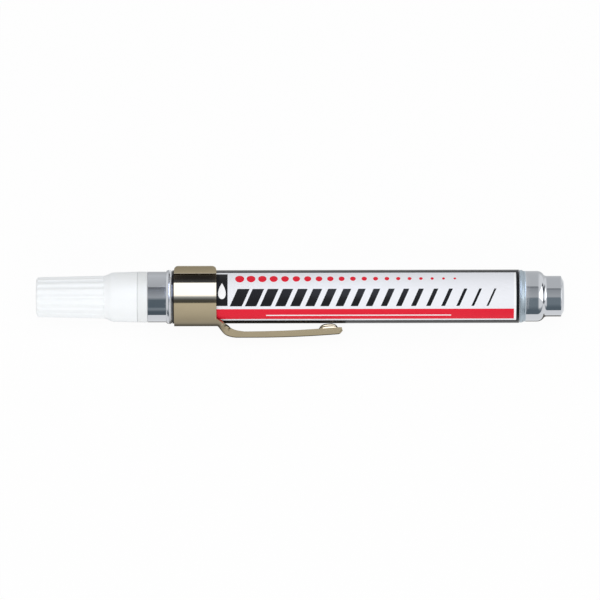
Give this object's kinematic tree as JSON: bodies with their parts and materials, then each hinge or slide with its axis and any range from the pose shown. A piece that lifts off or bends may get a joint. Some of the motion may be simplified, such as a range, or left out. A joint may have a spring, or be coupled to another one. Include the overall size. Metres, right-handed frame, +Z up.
{
  "type": "lens cleaning pen",
  "caption": "Slim aluminium cleaning pen with a valve-fed fibre tip under a fluted push-on cap, a printed sleeve and a sprung metal pocket clip.",
  "frame": {"origin": "on the table, under the middle of the pen as it lies", "axes": "+X along the pen from cap to tail, +Z up; the pen lies rolled so that it rests on its clip, which points towards -Y and down"},
  "size_m": [0.14, 0.0194, 0.0168],
  "materials": {
    "polished_aluminium": "drawn and polished",
    "label_film": "printed film, satin varnish",
    "white_polythene": "moulded, satin",
    "valve_polymer": "moulded",
    "seal_rubber": "moulded",
    "spring_steel": "drawn wire",
    "tip_felt": "bonded fibre",
    "plated_steel": "champagne plated, bright"
  },
  "bodies": {
    "barrel": {"barrel": "polished_aluminium", "label_sleeve": "label_film", "tip_holder": "white_polythene", "mouth_seal": "seal_rubber", "valve_body": "valve_polymer", "valve_seal": "seal_rubber", "spring_retainer": "valve_polymer", "valve_spring": "spring_steel"},
    "cap": {"cap_shell": "white_polythene", "cap_liner": "white_polythene"},
    "tip": {"nib": "tip_felt", "nib_socket": "valve_polymer", "valve_stem": "valve_polymer"},
    "clip": {"clip_band": "plated_steel"},
    "clip_arm": {"clip_arm": "plated_steel"}
  },
  "joints": [
    {"name": "cap_pull", "type": "slide", "parent": "barrel", "child": "cap", "axis": [-1, 0, 0], "range_m": [0, 0.034]},
    {"name": "tip_press", "type": "slide", "parent": "barrel", "child": "tip", "axis": [1, 0, 0], "range_m": [0, 0.002], "stiffness_N_per_m": 500, "springref_m": -0.004, "deforming": ["valve_spring"]},
    {"name": "clip_turn", "type": "hinge", "parent": "barrel", "child": "clip", "pos_m": [-0.02786, 0.00006, 0.00782], "axis": [1, 0, 0], "continuous": true},
    {"name": "clip_flex", "type": "hinge", "parent": "clip", "child": "clip_arm", "pos_m": [-0.0221, -0.00607, 0.00341], "axis": [0, 0.5844, -0.8115], "range_deg": [0, 8], "stiffness_Nm_per_rad": 1.2, "springref_deg": -1.15}
  ]
}
